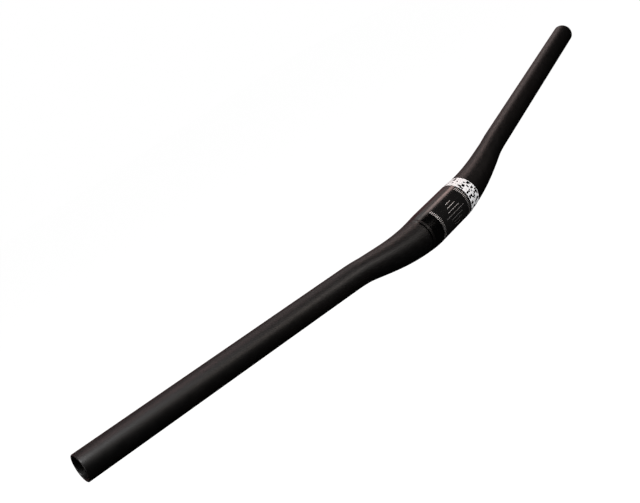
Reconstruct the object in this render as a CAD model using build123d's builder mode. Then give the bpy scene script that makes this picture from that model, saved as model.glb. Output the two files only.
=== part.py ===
"""Riser handlebar for a bicycle: one butted tube with a stem seat, two tapered bends and two straight grips.

The frame is the rider's: the origin is the centre of the stem seat, +X runs along the seat to the rider's
right, +Y points forward and +Z up. Sizes are in millimetres and angles in degrees.
"""

import os
from math import radians, tan

from build123d import *

# Overall shape
WIDTH = 780.0  # between the centres of the two tips
RISE = 38.0  # from the seat's axis up to the centres of the tips
UPSWEEP = 5.0  # climb of the grips towards the tips
BACKSWEEP = 8.0  # turn of the grips towards the rider

# Stem seat
CLAMP_DIAMETER = 35.0
CLAMP_WIDTH = 46.0
CLAMP_WALL = 2.4

# Grips
GRIP_DIAMETER = 22.2
GRIP_WALL = 2.0
GRIP_START = 128.5  # X where the straight run of each grip begins
TIP_ROUND = 0.5  # softened edges of the open ends

# Bends: the lengths of the tangents with which the centreline leaves the seat and meets the grip
SEAT_TANGENT = 48.5
GRIP_TANGENT = 28.5

# Taper from the seat's size to the grip's
TAPER_RUNOUT = 12.5  # stretch of the bend, next to the grip, that is already grip sized
TAPER_EASE = 9.0  # rounding of the cone at each of its ends
TAPER_SECTIONS = 36

# Corners and ends of the right half's centreline
grip_slope = Vector(1, -tan(radians(BACKSWEEP)), tan(radians(UPSWEEP)))
grip_direction = grip_slope.normalized()
seat_end = Vector(CLAMP_WIDTH / 2, 0, 0)
inner_corner = seat_end + Vector(SEAT_TANGENT, 0, 0)
outer_corner_x = GRIP_START - GRIP_TANGENT * grip_direction.X
outer_run = WIDTH / 2 - outer_corner_x
outer_corner = Vector(outer_corner_x, 0, RISE - outer_run * grip_slope.Z)
grip_start = outer_corner + grip_direction * GRIP_TANGENT
tip = outer_corner + grip_slope * outer_run
grip_length = (tip - grip_start).length

with BuildLine() as bends:
    centreline = Bezier(seat_end, inner_corner, outer_corner, grip_start)


def section_plane(share: float) -> Plane:
    """Plane across the bends at a share of their length, with its start point on the rider's side."""
    direction = centreline % share
    return Plane(centreline @ share, x_dir=direction.cross(Vector(0, 0, 1)), z_dir=direction)


def taper(share: float) -> float:
    """How far the tube has gone from seat size to grip size at a share of the bends' length."""
    length = centreline.length - TAPER_RUNOUT
    ease = TAPER_EASE / length
    done = min(share * centreline.length / length, 1)
    steepness = 1 / (1 - ease)
    if done < ease:
        return steepness * done**2 / (2 * ease)
    if done > 1 - ease:
        return 1 - steepness * (1 - done) ** 2 / (2 * ease)
    return steepness * (done - ease / 2)


def rod(seat_radius: float, grip_radius: float) -> Part:
    """Solid along the bar's whole course, for its outside or for its bore."""
    with BuildPart() as course:
        # Right side: the tapered bends, then the straight grip
        for index in range(TAPER_SECTIONS + 1):
            share = index / TAPER_SECTIONS
            with BuildSketch(section_plane(share)):
                Circle(seat_radius + (grip_radius - seat_radius) * taper(share))
        loft()
        with BuildSketch(section_plane(1)):
            Circle(grip_radius)
        extrude(amount=grip_length)
        # Left side, and the stem seat between the two
        mirror(about=Plane.YZ)
        with BuildSketch(Plane.YZ.offset(-CLAMP_WIDTH / 2)):
            Circle(seat_radius)
        extrude(amount=CLAMP_WIDTH)
    return course.part


# The tube: its outside less its bore, with softened edges at the open tips
with BuildPart() as handlebar:
    add(rod(CLAMP_DIAMETER / 2, GRIP_DIAMETER / 2))
    add(rod(CLAMP_DIAMETER / 2 - CLAMP_WALL, GRIP_DIAMETER / 2 - GRIP_WALL), mode=Mode.SUBTRACT)
    tip_faces = handlebar.faces().filter_by(GeomType.PLANE)
    fillet(tip_faces.edges(), radius=TIP_ROUND)

os.makedirs("parts", exist_ok=True)
handlebar.part.label = "handlebar"
export_step(handlebar.part, "parts/handlebar.step")
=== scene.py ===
"""Looks of a riser handlebar: a satin black tube with a printed stem seat, in a plain studio.

Lengths on the bar are in millimetres and become metres in the meshes. The studio is in metres.
Angles are in degrees. One round the bar starts at +Y, which is forward, and goes up through +Z.
"""

import logging
import math
import random
from dataclasses import dataclass, field
from enum import Enum, IntEnum
from functools import cached_property

import bpy
import numpy as np
from mathutils import Matrix, Vector

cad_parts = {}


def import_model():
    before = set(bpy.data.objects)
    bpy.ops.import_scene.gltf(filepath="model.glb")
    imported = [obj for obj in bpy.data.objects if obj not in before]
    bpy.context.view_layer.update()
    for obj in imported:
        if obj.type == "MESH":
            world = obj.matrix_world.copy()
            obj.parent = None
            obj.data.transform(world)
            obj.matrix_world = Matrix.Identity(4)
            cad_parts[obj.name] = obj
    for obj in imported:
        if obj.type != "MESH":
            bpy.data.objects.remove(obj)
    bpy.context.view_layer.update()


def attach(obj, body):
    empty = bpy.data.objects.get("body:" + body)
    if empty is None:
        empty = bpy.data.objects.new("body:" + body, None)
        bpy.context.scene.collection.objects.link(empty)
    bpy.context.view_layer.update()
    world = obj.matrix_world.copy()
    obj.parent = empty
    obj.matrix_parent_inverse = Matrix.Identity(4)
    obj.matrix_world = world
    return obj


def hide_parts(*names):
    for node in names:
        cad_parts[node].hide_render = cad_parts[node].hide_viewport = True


MM = 0.001
BODY = "root"
NODE = "handlebar"
FULL_TURN = 360.0
SHARP_ANGLE = 40.0  # faces that meet at more than this show an edge
NOISE_LOW, NOISE_HIGH = 0.3, 0.7  # nearly all of a noise pattern lies between these
log = logging.getLogger("handlebar")

Triple = tuple[float, float, float]
Colour = Triple
Span = tuple[float, float]
Face = tuple[int, ...]
Socket = bpy.types.NodeSocket

EVEN: Triple = (1.0, 1.0, 1.0)
WHITE: Colour = (1.0, 1.0, 1.0)
BLACK: Colour = (0.0, 0.0, 0.0)


class Zone(IntEnum):
    """Parts of the tube's surface, in the order of its material slots."""

    OUTSIDE = 0
    TIP = 1
    BORE = 2


class Slot(Enum):
    """Material slots of the record."""

    BAR = "bar"
    LACQUER = "clamp_lacquer"
    PRINT = "white_print"


class Side(IntEnum):
    """Sides of the stem seat, as signs of the lengths along the bar."""

    RIGHT = 1
    LEFT = -1


Ring = tuple[float, float, Zone]


@dataclass(frozen=True)
class Grain:
    """A cloudy pattern: the size of its clouds, its finer layers and a factor for each axis."""

    size: float
    detail: float
    stretch: Triple = EVEN  # a small factor draws the clouds out along its axis


@dataclass(frozen=True)
class Relief:
    """Height that a pattern's 1 stands for, and how much of the bend that it gives is used."""

    depth: float
    strength: float


@dataclass
class NodeSheet:
    """A material's node tree, with short ways to add and join nodes."""

    name: str
    material: bpy.types.Material = field(init=False)

    def __post_init__(self) -> None:
        """Starts the material with its own shader and nothing else joined to it."""
        self.material = bpy.data.materials.new(self.name)
        self.material.use_nodes = True

    @property
    def shader(self) -> bpy.types.Node:
        """The material's Principled shader."""
        return self.material.node_tree.nodes["Principled BSDF"]

    def add(self, kind: str, **values: object) -> bpy.types.Node:
        """Adds a node.

        Args:
            kind: the node's type name.
            values: attributes of the node, or values of its inputs where it has no such attribute.

        Returns:
            The new node.
        """
        node = self.material.node_tree.nodes.new(kind)
        for key, value in values.items():
            if hasattr(node, key):
                setattr(node, key, value)
            else:
                node.inputs[key.replace("_", " ").title()].default_value = value
        return node

    def join(self, source: Socket, target: Socket) -> None:
        """Links an output to an input."""
        self.material.node_tree.links.new(source, target)

    def position(self, stretch: Triple = EVEN) -> Socket:
        """Object coordinates, with each axis scaled.

        Args:
            stretch: factor for each axis.

        Returns:
            The socket with the coordinates.
        """
        coordinates = self.add("ShaderNodeTexCoord")
        mapping = self.add("ShaderNodeMapping", scale=stretch)
        self.join(coordinates.outputs["Object"], mapping.inputs["Vector"])
        return mapping.outputs["Vector"]

    def noise(self, grain: Grain) -> Socket:
        """Cloudy pattern over the object.

        Args:
            grain: the pattern's size, detail and stretch.

        Returns:
            The socket with a value about 0.5.
        """
        scale = 1.0 / (grain.size * MM)
        node = self.add("ShaderNodeTexNoise", scale=scale, detail=grain.detail)
        self.join(self.position(grain.stretch), node.inputs["Vector"])
        return node.outputs["Fac"]

    def ramp(self, value: Socket, stops: tuple[tuple[float, Colour], ...]) -> Socket:
        """Turns a value into a colour.

        Args:
            value: the socket to read.
            stops: two places from 0 to 1 with their colours.

        Returns:
            The socket with the colour.
        """
        node = self.add("ShaderNodeValToRGB")
        for element, (place, colour) in zip(node.color_ramp.elements, stops):
            element.position = place
            element.color = (*colour, 1.0)
        self.join(value, node.inputs["Fac"])
        return node.outputs["Color"]

    def remap(self, value: Socket, low: float, high: float) -> Socket:
        """Stretches a noise to a range.

        Args:
            value: the socket with the noise.
            low: result at the noise's lower limit.
            high: result at its upper limit.

        Returns:
            The socket with the result.
        """
        limits = {"from_min": NOISE_LOW, "from_max": NOISE_HIGH, "to_min": low, "to_max": high}
        node = self.add("ShaderNodeMapRange", **limits)
        self.join(value, node.inputs["Value"])
        return node.outputs["Result"]

    def bump(self, height: Socket, relief: Relief, after: Socket | None = None) -> Socket:
        """Bends the surface's normal by a height.

        Args:
            height: the socket with the height.
            relief: the height's depth and strength.
            after: an earlier bump that this one adds to.

        Returns:
            The socket with the normal.
        """
        node = self.add("ShaderNodeBump", strength=relief.strength, distance=relief.depth * MM)
        self.join(height, node.inputs["Height"])
        if after is not None:
            self.join(after, node.inputs["Normal"])
        return node.outputs["Normal"]


@dataclass(frozen=True)
class Finish:
    """A surface of two mixed colours, with a range of roughness and a fine relief.

    Each has a pattern of its own: tint mixes the colours, sheen sets the roughness and tooth the
    relief. The low colour is pure where the tint is below low_at, and the high one where it is
    above high_at.
    """

    name: str
    low: Colour
    high: Colour
    smooth: float
    rough: float
    low_at: float
    high_at: float
    tint: Grain
    sheen: Grain
    tooth: Grain
    relief: Relief
    specular: float = 0.4
    metal: float = 0.0

    def normal(self, sheet: NodeSheet) -> Socket:
        """Draws the fine relief on a sheet, and gives the socket with the normal."""
        return sheet.bump(sheet.noise(self.tooth), self.relief)

    def material(self) -> bpy.types.Material:
        """Makes the finish's material.

        Returns:
            The new material.
        """
        sheet = NodeSheet(self.name)
        inputs = sheet.shader.inputs
        inputs["Metallic"].default_value = self.metal
        inputs["Specular IOR Level"].default_value = self.specular
        stops = ((self.low_at, self.low), (self.high_at, self.high))
        roughness = sheet.remap(sheet.noise(self.sheen), self.smooth, self.rough)
        sheet.join(sheet.ramp(sheet.noise(self.tint), stops), inputs["Base Color"])
        sheet.join(roughness, inputs["Roughness"])
        sheet.join(self.normal(sheet), inputs["Normal"])
        return sheet.material


@dataclass(frozen=True)
class PeenedFinish(Finish):
    """Satin black anodising on peened aluminium: a fine dimpled grain with faint warm clouds."""

    name: str = "satin_anodised"
    low: Colour = (0.001, 0.001, 0.0011)
    high: Colour = (0.0024, 0.0019, 0.0018)
    smooth: float = 0.42
    rough: float = 0.5
    low_at: float = 0.32
    high_at: float = 0.7
    tint: Grain = Grain(34.0, 4.0, (0.35, 1.0, 1.0))
    sheen: Grain = Grain(5.5, 5.0)
    tooth: Grain = Grain(0.16, 2.0)
    relief: Relief = Relief(0.01, 0.3)
    dimple: float = 0.42
    dimple_relief: Relief = Relief(0.02, 0.35)

    def normal(self, sheet: NodeSheet) -> Socket:
        """Draws the dimples as cells, with the fine relief on top of them.

        Args:
            sheet: the material's node tree.

        Returns:
            The socket with the normal.
        """
        scale = 1.0 / (self.dimple * MM)
        cells = sheet.add("ShaderNodeTexVoronoi", scale=scale, feature="SMOOTH_F1")
        sheet.join(sheet.position(), cells.inputs["Vector"])
        dimples = sheet.bump(cells.outputs["Distance"], self.dimple_relief)
        return sheet.bump(sheet.noise(self.tooth), self.relief, dimples)


@dataclass(frozen=True)
class CutEndFinish(Finish):
    """The tube's cut ends: turned, softened edges, dyed black and rubbed in patches."""

    name: str = "cut_end"
    low: Colour = (0.0026, 0.0022, 0.0022)
    high: Colour = (0.009, 0.0075, 0.0072)
    smooth: float = 0.24
    rough: float = 0.34
    low_at: float = 0.45
    high_at: float = 0.8
    tint: Grain = Grain(3.0, 5.0)
    sheen: Grain = Grain(1.2, 3.0)
    tooth: Grain = Grain(0.3, 2.0)
    relief: Relief = Relief(0.01, 0.3)
    specular: float = 0.6


@dataclass(frozen=True)
class DrawnBoreFinish(Finish):
    """Inside of the tube: drawn aluminium with long streaks, dyed with the rest."""

    name: str = "drawn_bore"
    low: Colour = (0.002, 0.0016, 0.0015)
    high: Colour = (0.006, 0.0045, 0.0042)
    smooth: float = 0.38
    rough: float = 0.55
    low_at: float = 0.35
    high_at: float = 0.75
    tint: Grain = Grain(0.9, 4.0, (0.02, 1.0, 1.0))
    sheen: Grain = tint
    tooth: Grain = tint
    relief: Relief = Relief(0.02, 0.3)
    specular: float = 0.3


@dataclass(frozen=True)
class LacquerFinish(Finish):
    """Black lacquer of the stem seat, with fine wipe marks and a faint orange peel."""

    low_at: float = 0.4
    high_at: float = 0.75
    tint: Grain = Grain(9.0, 3.0)
    sheen: Grain = Grain(0.8, 4.0, (0.25, 1.0, 1.0))
    tooth: Grain = Grain(1.6, 2.0)
    relief: Relief = Relief(0.01, 0.12)


@dataclass(frozen=True)
class InkFinish(Finish):
    """Screen-printed ink: a matt film, a little thin in places, white or of metal flake."""

    smooth: float = 0.42
    rough: float = 0.55
    low_at: float = 0.3
    high_at: float = 0.46
    tint: Grain = Grain(1.4, 4.0)
    sheen: Grain = Grain(0.5, 2.0)
    tooth: Grain = Grain(0.25, 2.0)
    relief: Relief = Relief(0.01, 0.2)


@dataclass(frozen=True)
class Course:
    """Centreline from the left tip to the right, measured along it from the middle of the seat."""

    width: float = 780.0
    rise: float = 38.0
    upsweep: float = 5.0
    backsweep: float = 8.0
    seat_width: float = 46.0
    grip_start: float = 128.5
    seat_tangent: float = 48.5
    grip_tangent: float = 28.5
    taper_runout: float = 12.5
    taper_ease: float = 9.0
    samples: int = 1201  # along each bend

    @cached_property
    def half(self) -> tuple[np.ndarray, np.ndarray, np.ndarray]:
        """The right half, closely sampled.

        Returns:
            Lengths along the course, points and unit directions.
        """
        back, climb = (math.tan(math.radians(a)) for a in (self.backsweep, self.upsweep))
        slope = np.array([1.0, -back, climb])
        direction = slope / np.linalg.norm(slope)
        seat_end = np.array([self.seat_width / 2, 0.0, 0.0])
        inner = seat_end + np.array([self.seat_tangent, 0.0, 0.0])
        outer_x = self.grip_start - self.grip_tangent * direction[0]
        run = self.width / 2 - outer_x
        outer = np.array([outer_x, 0.0, self.rise - run * slope[2]])
        grip = outer + direction * self.grip_tangent
        t = np.linspace(0.0, 1.0, self.samples)[:, None]
        s = 1 - t
        bend = s**3 * seat_end + 3 * t * s**2 * inner + 3 * t**2 * s * outer + t**3 * grip
        turn = s**2 * (inner - seat_end) + 2 * t * s * (outer - inner) + t**2 * (grip - outer)
        points = np.vstack([np.zeros(3), bend, outer + slope * run])
        turns = np.vstack([[1.0, 0.0, 0.0], turn, direction])
        lengths = np.cumsum(np.linalg.norm(np.diff(points, axis=0), axis=1))
        return np.r_[0.0, lengths], points, turns / np.linalg.norm(turns, axis=1)[:, None]

    @property
    def reach(self) -> float:
        """Length from the middle of the seat to a tip."""
        return float(self.half[0][-1])

    @property
    def bend_end(self) -> float:
        """Length from the middle of the seat to where a grip's straight run begins."""
        return float(self.half[0][-2])

    def look_up(self, along: np.ndarray, rows: np.ndarray) -> np.ndarray:
        """Reads the right half between its samples.

        Args:
            along: lengths from the middle of the seat, of which the sign doesn't count.
            rows: a point or direction for each sample.

        Returns:
            A point or direction for each length.
        """
        lengths = self.half[0]
        return np.stack([np.interp(np.abs(along), lengths, axis) for axis in rows.T], axis=1)

    def centre(self, along: np.ndarray) -> np.ndarray:
        """Points of the centreline.

        Args:
            along: lengths from the middle of the seat, less than 0 on the left.

        Returns:
            A point for each length.
        """
        spots = self.look_up(along, self.half[1])
        spots[:, 0] *= np.where(along < 0, -1.0, 1.0)
        return spots

    def axes(self, along: np.ndarray) -> tuple[np.ndarray, np.ndarray]:
        """Directions across the bar.

        Args:
            along: lengths from the middle of the seat, less than 0 on the left.

        Returns:
            The forward and the upward direction for each length.
        """
        ways = self.look_up(along, self.half[2])
        ways[:, 1:] *= np.where(along < 0, -1.0, 1.0)[:, None]
        ways /= np.linalg.norm(ways, axis=1)[:, None]
        forward = np.cross(np.array([0.0, 0.0, 1.0]), ways)
        forward /= np.linalg.norm(forward, axis=1)[:, None]
        return forward, np.cross(ways, forward)

    def taper(self, along: np.ndarray) -> np.ndarray:
        """How far the tube has gone from seat size to grip size.

        Args:
            along: lengths from the middle of the seat.

        Returns:
            A share from 0 to 1 for each length.
        """
        run = self.bend_end - self.seat_width / 2 - self.taper_runout
        ease = self.taper_ease / run
        done = np.clip((np.abs(along) - self.seat_width / 2) / run, 0.0, 1.0)
        steepness = 1 / (1 - ease)
        cone = steepness * (done - ease / 2)
        cone = np.where(done < ease, steepness * done**2 / (2 * ease), cone)
        return np.where(done > 1 - ease, 1 - steepness * (1 - done) ** 2 / (2 * ease), cone)

    def skin(self, along: np.ndarray, angles: np.ndarray, radii: np.ndarray) -> np.ndarray:
        """Points round the bar.

        Args:
            along: lengths from the middle of the seat.
            angles: angles round the bar.
            radii: distances from the centreline.

        Returns:
            A point in metres for each set of the three.
        """
        forward, up = self.axes(along)
        turn = np.radians(angles)[:, None]
        outward = np.cos(turn) * forward + np.sin(turn) * up
        return (self.centre(along) + radii[:, None] * outward) * MM


@dataclass
class BarTube:
    """The tube itself: tapered outside, butted bore and softened open tips, as one closed mesh."""

    course: Course
    seat_diameter: float = 35.0
    grip_diameter: float = 22.2
    seat_wall: float = 2.4
    grip_wall: float = 2.0
    tip_round: float = 0.5
    round_steps: int = 6
    segments: int = 96

    # Longest steps between rings
    seat_step: float = 4.0
    bend_step: float = 1.6
    grip_step: float = 9.0

    def outer(self, along: np.ndarray) -> np.ndarray:
        """Outside radius for each length."""
        growth = (self.grip_diameter - self.seat_diameter) / 2
        return self.seat_diameter / 2 + growth * self.course.taper(along)

    def inner(self, along: np.ndarray) -> np.ndarray:
        """Bore radius for each length."""
        wall = self.seat_wall + (self.grip_wall - self.seat_wall) * self.course.taper(along)
        return self.outer(along) - wall

    def stations(self) -> np.ndarray:
        """Rings between the two tips' rounds: close in the bends, wide on the straight runs.

        Returns:
            Their lengths, from the left to the right.
        """
        seat, bend = self.course.seat_width / 2, self.course.bend_end
        tip = self.course.reach - self.tip_round
        runs = (
            (0.0, seat, self.seat_step),
            (seat, bend, self.bend_step),
            (bend, tip, self.grip_step),
        )
        spans = [
            np.linspace(start, end, math.ceil((end - start) / step), endpoint=False)
            for start, end, step in runs
        ]
        right = np.concatenate([*spans, [tip]])
        return np.concatenate([-right[:0:-1], right])

    def tip_profile(self) -> list[Ring]:
        """Section of the right tip, from the outside round the end face to the bore.

        Returns:
            Length, radius and zone of each ring.
        """
        curve, end = self.tip_round, self.course.reach - self.tip_round
        big, small = (float(size(np.array([end]))[0]) for size in (self.outer, self.inner))
        turns = [math.radians(90) * step / self.round_steps for step in range(self.round_steps + 1)]
        rings = [(curve * math.sin(a), big - curve * (1 - math.cos(a))) for a in turns[1:]]
        rings += [(curve * math.cos(a), small + curve * (1 - math.sin(a))) for a in turns[:-1]]
        return [(end + reach, radius, Zone.TIP) for reach, radius in rings]

    def rings(self) -> list[Ring]:
        """All rings in order: the outside, the right tip, back through the bore and the left tip.

        Returns:
            Length, radius and the zone of the faces that follow, for each ring.
        """
        there = self.stations()
        back = there[::-1]
        tip = self.tip_profile()
        outside = [(s, r, Zone.OUTSIDE) for s, r in zip(there, self.outer(there))]
        bore = [(s, r, Zone.BORE) for s, r in zip(back, self.inner(back))]
        for run in (outside, bore):
            run[-1] = (*run[-1][:2], Zone.TIP)
        return outside + tip + bore + [(-s, r, zone) for s, r, zone in reversed(tip)]

    def build(self) -> bpy.types.Object:
        """Makes the tube's mesh, which stands for the CAD node.

        Returns:
            The new object.
        """
        loop = self.rings()
        around = np.arange(self.segments) * (FULL_TURN / self.segments)
        along = np.repeat([ring[0] for ring in loop], self.segments)
        radii = np.repeat([ring[1] for ring in loop], self.segments)
        points = self.course.skin(along, np.tile(around, len(loop)), radii)
        faces, zones = [], []
        for index, (_, _, zone) in enumerate(loop):
            here, there = index * self.segments, (index + 1) % len(loop) * self.segments
            for step in range(self.segments):
                after = (step + 1) % self.segments
                faces.append((here + step, here + after, there + after, there + step))
                zones.append(int(zone))
        tube = make_piece("bar", points, faces, Slot.BAR)
        tube.data.polygons.foreach_set("material_index", zones)
        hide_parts(NODE)
        return tube

    def dress(self, tube: bpy.types.Object) -> None:
        """Gives each zone its finish, in the order of the zones."""
        for finish in (PeenedFinish(), CutEndFinish(), DrawnBoreFinish()):
            tube.data.materials.append(finish.material())


@dataclass(frozen=True)
class Patch:
    """A piece of film on the bar, between two lengths and two angles."""

    start: float
    end: float
    low: float = 0.0
    high: float = FULL_TURN

    @property
    def closed(self) -> bool:
        """Whether the film goes all the way round."""
        return self.high - self.low >= FULL_TURN


@dataclass
class Film:
    """Thin coats on the tube, each a closed shell that follows its skin."""

    tube: BarTube
    name: str
    slot: Slot
    thickness: float
    root: float = 0.02  # depth of the underside below the skin
    pitch: float = 1.0  # longest face along the bar
    turn: float = 3.0  # widest face round the bar

    def shell(self, patch: Patch, first: int) -> tuple[np.ndarray, list[Face]]:
        """Closed shell over a patch.

        Args:
            patch: where the film lies.
            first: number of the shell's first point.

        Returns:
            Its points and faces.
        """
        ends = 0 if patch.closed else 1
        rows = max(2, math.ceil((patch.end - patch.start) / self.pitch) + 1)
        columns = max(2, math.ceil((patch.high - patch.low) / self.turn) + ends)
        across = np.linspace(patch.low, patch.high, columns, endpoint=not patch.closed)
        along = np.repeat(np.linspace(patch.start, patch.end, rows), columns)
        angles = np.tile(across, rows)
        radii, skin = self.tube.outer(along), self.tube.course.skin
        top = skin(along, angles, radii + self.thickness)
        points = np.vstack([top, skin(along, angles, radii - self.root)])
        under = rows * columns
        steps = columns - ends
        faces: list[Face] = []
        for row in range(rows - 1):
            for column in range(steps):
                a, b = row * columns + column, row * columns + (column + 1) % columns
                c, d = b + columns, a + columns
                faces += [(a, b, c, d), (under + d, under + c, under + b, under + a)]
        for column in range(steps):
            a, b = column, (column + 1) % columns
            faces.append((b, a, under + a, under + b))
            c, d = (rows - 1) * columns + a, (rows - 1) * columns + b
            faces.append((c, d, under + d, under + c))
        if not patch.closed:
            for row in range(rows - 1):
                a, b = row * columns, (row + 1) * columns
                faces.append((a, b, under + b, under + a))
                c, d = a + columns - 1, b + columns - 1
                faces.append((d, c, under + c, under + d))
        return points, [tuple(first + corner for corner in face) for face in faces]

    def build(self, patches: list[Patch], finish: bpy.types.Material) -> bpy.types.Object:
        """Makes one piece of all the patches.

        Args:
            patches: where the film lies.
            finish: its material.

        Returns:
            The new object.
        """
        points: list[np.ndarray] = []
        faces: list[Face] = []
        for patch in patches:
            shell, sides = self.shell(patch, sum(len(p) for p in points))
            points.append(shell)
            faces += sides
        piece = make_piece(self.name, np.vstack(points), faces, self.slot)
        piece.data.materials.append(finish)
        return piece


@dataclass
class SeatDressing:
    """Lacquer and print round the stem seat.

    A gloss field has a duller clamp zone in it, a white band at one end and a narrow ring beside
    the other. Two scales and a centring mark are printed on the clamp zone.
    """

    tube: BarTube

    # Lacquer, with a thickness for each coat
    field_start: float = -41.5
    field_end: float = 38.0
    ring_start: float = 40.6
    ring_end: float = 42.6
    lacquer_film: float = 0.03
    zone_film: float = 0.01
    ink_film: float = 0.05

    # White band: courses of dashes, long about the angle band_full and short elsewhere
    band_start: float = -41.5
    band_end: float = -25.2
    band_edge: float = 0.7
    band_joint: float = 0.05  # half the bare line between two courses
    band_courses: int = 8
    band_seed: int = 11
    band_stagger: float = 20.0  # range in which the first dash of a course starts
    band_full: float = 85.0
    full_cosine: float = 0.6  # of the widest angle from there at which a dash is long
    full_dash: Span = (24.0, 50.0)
    full_gap: Span = (4.0, 8.0)
    broken_dash: Span = (9.0, 25.0)
    broken_gap: Span = (6.0, 14.0)
    last_room: float = 12.0  # least room for a further dash
    last_gap: float = 5.0

    # Scales at the clamp zone's ends, and the mark in its middle
    print_shift: float = 0.7  # of the zone and the scales, from the middle of the seat
    scale_start: float = 20.3
    scale_width: float = 3.5
    scale_top: float = 52.0
    scale_bottom: float = -111.0
    scale_pitch: float = 5.1
    scale_dash: float = 2.3
    mark_angle: float = 0.0
    mark_pitch: float = 12.0
    mark_lengths: tuple[float, ...] = (8.0, 13.0, 19.0, 30.0, 19.0, 13.0, 8.0)
    mark_line: float = 0.55

    # Finishes
    gloss: Finish = LacquerFinish(
        "gloss_lacquer", (0.0006, 0.0006, 0.0007), (0.0012, 0.0011, 0.0011), 0.17, 0.23
    )
    dull: Finish = LacquerFinish(
        "clamp_zone_lacquer", (0.0062, 0.006, 0.0059), (0.0082, 0.0077, 0.0075), 0.185, 0.245
    )
    white: Finish = InkFinish("white_ink", (0.7, 0.7, 0.7), (0.88, 0.89, 0.9))
    silver: Finish = InkFinish("silver_ink", (0.84, 0.84, 0.84), (0.96, 0.96, 0.96), metal=1.0)

    def lacquer(self) -> list[bpy.types.Object]:
        """Makes the gloss field with its ring, and the duller clamp zone that holds the scales.

        Returns:
            The two new objects.
        """
        reach = self.scale_start + self.scale_width
        glossy = [Patch(self.field_start, self.field_end), Patch(self.ring_start, self.ring_end)]
        zone = [Patch(self.print_shift - reach, self.print_shift + reach)]
        plans = (
            ("seat_lacquer", self.lacquer_film, glossy, self.gloss),
            ("clamp_zone", self.lacquer_film + self.zone_film, zone, self.dull),
        )
        return [
            Film(self.tube, name, Slot.LACQUER, film).build(patches, finish.material())
            for name, film, patches, finish in plans
        ]

    def band_patches(self) -> list[Patch]:
        """Courses of dashes between two plain edge lines, laid like bricks.

        Returns:
            The patches of white ink.
        """
        dice = random.Random(self.band_seed)
        first, last = self.band_start + self.band_edge, self.band_end - self.band_edge
        patches = [Patch(self.band_start, first), Patch(last, self.band_end)]
        room = self.band_end - self.band_start - 2 * self.band_edge
        step = room / self.band_courses
        for course in range(self.band_courses):
            start = first + course * step
            low, high = start + self.band_joint, start + step - self.band_joint
            angle = dice.uniform(0.0, self.band_stagger)
            stop = angle + FULL_TURN
            while angle < stop - self.last_room:
                full = math.cos(math.radians(angle - self.band_full)) > self.full_cosine
                dashes = self.full_dash if full else self.broken_dash
                gaps = self.full_gap if full else self.broken_gap
                dash = min(dice.uniform(*dashes), stop - angle - self.last_gap)
                patches.append(Patch(low, high, angle, angle + dash))
                angle += dash + dice.uniform(*gaps)
        return patches

    def scale_patches(self, side: Side) -> list[Patch]:
        """A scale of even ticks, down the front of the bar.

        Args:
            side: the end of the clamp zone that it lies at.

        Returns:
            The patches of ink.
        """
        ends = (side * self.scale_start, side * (self.scale_start + self.scale_width))
        low, high = sorted(self.print_shift + end for end in ends)
        count = int((self.scale_top - self.scale_bottom) / self.scale_pitch)
        tops = [self.scale_top - step * self.scale_pitch for step in range(count)]
        return [Patch(low, high, top - self.scale_dash, top) for top in tops]

    def mark_patches(self) -> list[Patch]:
        """Fine lines along the bar, longest in the middle, that centre it in a stem.

        Returns:
            The patches of ink.
        """
        half_line = math.degrees(self.mark_line / 2 / (self.tube.seat_diameter / 2))
        middle = (len(self.mark_lengths) - 1) / 2
        patches = []
        for index, length in enumerate(self.mark_lengths):
            angle = self.mark_angle + (index - middle) * self.mark_pitch
            patches.append(Patch(-length / 2, length / 2, angle - half_line, angle + half_line))
        return patches

    def prints(self) -> list[bpy.types.Object]:
        """Makes the printed pieces: the white band, the two scales and the centring mark.

        Returns:
            The four new objects.
        """
        white, silver = self.white.material(), self.silver.material()
        film = self.lacquer_film + self.ink_film
        plans = (
            ("white_band", self.band_patches(), white),
            ("scale_right", self.scale_patches(Side.RIGHT), silver),
            ("scale_left", self.scale_patches(Side.LEFT), silver),
            ("centring_mark", self.mark_patches(), silver),
        )
        return [
            Film(self.tube, name, Slot.PRINT, film).build(patches, ink)
            for name, patches, ink in plans
        ]


@dataclass(frozen=True)
class StageFinish:
    """A grey, matt surface of the stage, which glows for the rays that show the background."""

    name: str
    grey: float
    rough: float
    tone: Colour
    glow: float = 1.0

    def material(self) -> bpy.types.Material:
        """Makes the finish's material.

        Returns:
            The new material.
        """
        sheet = NodeSheet(self.name)
        inputs = sheet.shader.inputs
        inputs["Base Color"].default_value = (self.grey, self.grey, self.grey, 1.0)
        inputs["Roughness"].default_value = self.rough
        inputs["Specular IOR Level"].default_value = 0.0
        inputs["Emission Color"].default_value = (*self.tone, 1.0)
        glow = sheet.add("ShaderNodeMath", operation="MULTIPLY")
        glow.inputs[1].default_value = self.glow
        sheet.join(seen_rays(sheet.material.node_tree), glow.inputs[0])
        sheet.join(glow.outputs[0], inputs["Emission Strength"])
        return sheet.material


@dataclass(frozen=True)
class SoftBox:
    """A studio soft box: where it stands, its size and light, and what it faces."""

    name: str
    place: Triple
    size: Span
    watts: float
    colour: Colour = WHITE
    facing: Triple = (0.0, 0.0, 0.0)
    in_gloss: bool = True  # whether the bar mirrors it
    spread: float = 180.0

    def build(self) -> bpy.types.Object:
        """Hangs the lamp, facing its mark.

        Returns:
            The new object.
        """
        lamp = bpy.data.lights.new(self.name, "AREA")
        lamp.shape = "RECTANGLE"
        lamp.size, lamp.size_y = self.size
        lamp.energy = self.watts
        lamp.color = self.colour
        lamp.spread = math.radians(self.spread)
        box = bpy.data.objects.new(self.name, lamp)
        bpy.context.scene.collection.objects.link(box)
        box.location = self.place
        away = Vector(self.facing) - Vector(self.place)
        box.rotation_euler = away.to_track_quat("-Z", "Y").to_euler()
        box.visible_glossy = self.in_gloss
        return box


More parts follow.
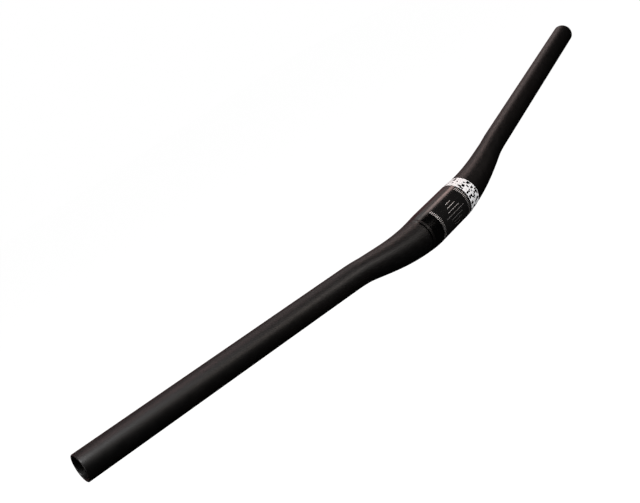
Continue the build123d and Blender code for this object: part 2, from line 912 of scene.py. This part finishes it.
@dataclass(frozen=True)
class Card:
    """A card unseen by the camera: a black one keeps part of the white surround off the bar, and a
    tinted one glows though it is no lamp, painted light that the bar mirrors as a warm reflection.

    It is black for the lamps, and of its tone for the rays that show the background. Across and
    along run from its centre to the middles of two of its sides.
    """

    name: str
    centre: Triple
    across: Triple
    along: Triple
    # colour that it glows in for the rays that show the background; black for a flag
    tone: Colour = BLACK
    grey: float = 0.004
    rough: float = 1.0

    def build(self) -> bpy.types.Object:
        """Hangs the card.

        Returns:
            The new object.
        """
        centre, across, along = Vector(self.centre), Vector(self.across), Vector(self.along)
        signs = ((-1, -1), (1, -1), (1, 1), (-1, 1))
        card = make_panel(self.name, [centre + a * across + b * along for a, b in signs])
        finish = StageFinish(self.name, self.grey, self.rough, self.tone)
        card.data.materials.append(finish.material())
        card.visible_camera = False
        card.visible_shadow = False
        return card


@dataclass
class Studio:
    """White floor and surround, black cards and glowing tinted cards, soft boxes and the camera of
    the photograph.
    """

    floor_drop: float = 0.6
    floor_half: float = 12.0
    floor_finish: StageFinish = StageFinish("pale_floor", 0.8, 0.9, WHITE, 0.995)
    cards: tuple[Card, ...] = (
        Card("front_card", (0.918, 1.282, 1.195), (2.633, 0.922, 0.0), (1.074, -3.067, 2.467)),
        Card("side_card", (-1.2, 1.41, 0.275), (0.0, 1.59, 0.0), (0.0, 0.0, 0.775)),
        # The next three cards glow in their tints for the rays that show the background, though
        # they are no lamps: painted light that the bar mirrors as a warm reflection on its edges.
        Card("back_glow_card", (-0.15, -1.2, 0.5), (1.35, 0.0, 0.0), (0.0, 0.0, 1.0), (0.2, 0.1, 0.1)),
        Card(
            "warm_glow_card", (-1.45, -0.7, 1.075), (0.0, 0.6, 0.0), (0.0, 0.0, 0.225), (0.55, 0.42, 0.4)
        ),
        Card(
            "dim_glow_card", (-1.45, -0.7, 0.175), (0.0, 0.6, 0.0), (0.0, 0.0, 0.675), (0.38, 0.27, 0.26)
        ),
        Card("lower_card", (0.0, 0.65, -0.16), (2.0, 0.0, 0.0), (0.0, 1.85, 0.0)),
    )
    boxes: tuple[SoftBox, ...] = (
        SoftBox("key_box", (0.473, 0.589, 1.059), (0.8, 0.5), 14.6),
        SoftBox("front_box", (-0.358, 1.099, 0.595), (0.4, 0.4), 3.2, (1.0, 0.87, 0.79)),
        SoftBox("top_box", (-0.184, -0.055, 1.224), (0.5, 0.5), 3.0, (1.0, 0.7, 0.69)),
        SoftBox("streak_box", (-0.92, -0.165, 0.91), (0.3, 0.45), 0.62, (1.0, 0.88, 0.82)),
        SoftBox("seat_box", (-0.392, -0.073, 0.345), (0.111, 0.059), 0.08, (1.0, 0.57, 0.51)),
        SoftBox("arm_box", (-1.427, -0.498, 0.643), (0.3, 0.3), 0.44, (1.0, 0.85, 0.82)),
        SoftBox(
            "fill_box", (0.15, 0.62, -0.37), (0.4, 0.2), 2.7, (0.95, 0.98, 1.0), in_gloss=False
        ),
        SoftBox(
            "bend_box",
            (-0.033, 0.214, 0.123),
            (0.07, 0.07),
            0.0068,
            facing=(0.1, 0.0, 0.005),
            spread=56.0,
        ),
    )

    # Camera, with its lens and sensor width in millimetres
    eye: Triple = (0.6074065, 0.5449231, 0.2283158)
    right: Triple = (-0.579327, 0.649465, -0.492520)
    up: Triple = (-0.520970, 0.169679, 0.836540)
    lens: float = 51.794
    sensor: float = 36.0
    clip: Span = (0.01, 100.0)

    def surround(self) -> None:
        """White world for the rays that show it; the soft boxes light the bar."""
        world = bpy.data.worlds.new("surround")
        bpy.context.scene.world = world
        world.use_nodes = True
        tree = world.node_tree
        background = tree.nodes["Background"]
        background.inputs["Color"].default_value = (*WHITE, 1.0)
        tree.links.new(seen_rays(tree), background.inputs["Strength"])

    def floor(self) -> None:
        """Pale floor below the bar: it takes the shadow, and glows for the rays that show it."""
        half, height = self.floor_half, -self.floor_drop
        spots = ((-half, -half), (half, -half), (half, half), (-half, half))
        floor = make_panel("floor", [Vector((x, y, height)) for x, y in spots])
        floor.data.materials.append(self.floor_finish.material())

    def camera(self) -> None:
        """Sets the camera where the photograph was taken from."""
        lens = bpy.data.cameras.new("camera")
        lens.sensor_fit = "HORIZONTAL"
        lens.sensor_width = self.sensor
        lens.lens = self.lens
        lens.clip_start, lens.clip_end = self.clip
        camera = bpy.data.objects.new("camera", lens)
        bpy.context.scene.collection.objects.link(camera)
        right, up = Vector(self.right).normalized(), Vector(self.up).normalized()
        turn = Matrix((right, up, right.cross(up))).transposed().to_4x4()
        camera.matrix_world = Matrix.Translation(self.eye) @ turn
        bpy.context.scene.camera = camera

    def build(self) -> None:
        """Sets up the stage, the light and the camera."""
        bpy.context.scene.view_settings.view_transform = "Standard"
        self.surround()
        self.floor()
        for prop in (*self.cards, *self.boxes):
            prop.build()
        self.camera()


def make_piece(name: str, points: np.ndarray, faces: list[Face], slot: Slot) -> bpy.types.Object:
    """Makes a smooth mesh piece that rides on the bar's body.

    Args:
        name: the piece's name.
        points: its points in metres.
        faces: its faces, as numbers of points.
        slot: the record's material slot meant for the piece; not used.

    Returns:
        The new object.
    """
    mesh = bpy.data.meshes.new(name)
    mesh.from_pydata(points.tolist(), [], faces)
    mesh.shade_smooth()
    mesh.set_sharp_from_angle(angle=math.radians(SHARP_ANGLE))
    mesh.update()
    piece = bpy.data.objects.new(name, mesh)
    bpy.context.scene.collection.objects.link(piece)
    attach(piece, BODY)
    return piece


def make_panel(name: str, corners: list[Vector]) -> bpy.types.Object:
    """Makes a flat panel of the stage.

    Args:
        name: the panel's name.
        corners: its four corners in metres, in order.

    Returns:
        The new object.
    """
    mesh = bpy.data.meshes.new(name)
    mesh.from_pydata([tuple(corner) for corner in corners], [], [(0, 1, 2, 3)])
    panel = bpy.data.objects.new(name, mesh)
    bpy.context.scene.collection.objects.link(panel)
    return panel


def seen_rays(tree: bpy.types.NodeTree) -> Socket:
    """Picks the rays that show the background: from the camera, off gloss and through glass.

    Args:
        tree: the node tree that needs them.

    Returns:
        A socket that is 1 for those rays and 0 for the rest.
    """
    path = tree.nodes.new("ShaderNodeLightPath")
    seen = path.outputs["Is Camera Ray"]
    for kind in ("Is Glossy Ray", "Is Transmission Ray"):
        either = tree.nodes.new("ShaderNodeMath")
        either.operation = "MAXIMUM"
        tree.links.new(seen, either.inputs[0])
        tree.links.new(path.outputs[kind], either.inputs[1])
        seen = either.outputs[0]
    return seen


def main() -> None:
    """Builds the bar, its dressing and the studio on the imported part."""
    logging.basicConfig(level=logging.INFO, format="%(name)s: %(message)s")
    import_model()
    tube = BarTube(Course())
    bar = tube.build()
    tube.dress(bar)
    log.info("%s: %d faces", bar.name, len(bar.data.polygons))
    dressing = SeatDressing(tube)
    for piece in [*dressing.lacquer(), *dressing.prints()]:
        log.info("%s: %d faces", piece.name, len(piece.data.polygons))
    Studio().build()
    log.info("studio is set")


if __name__ == "__main__":
    main()
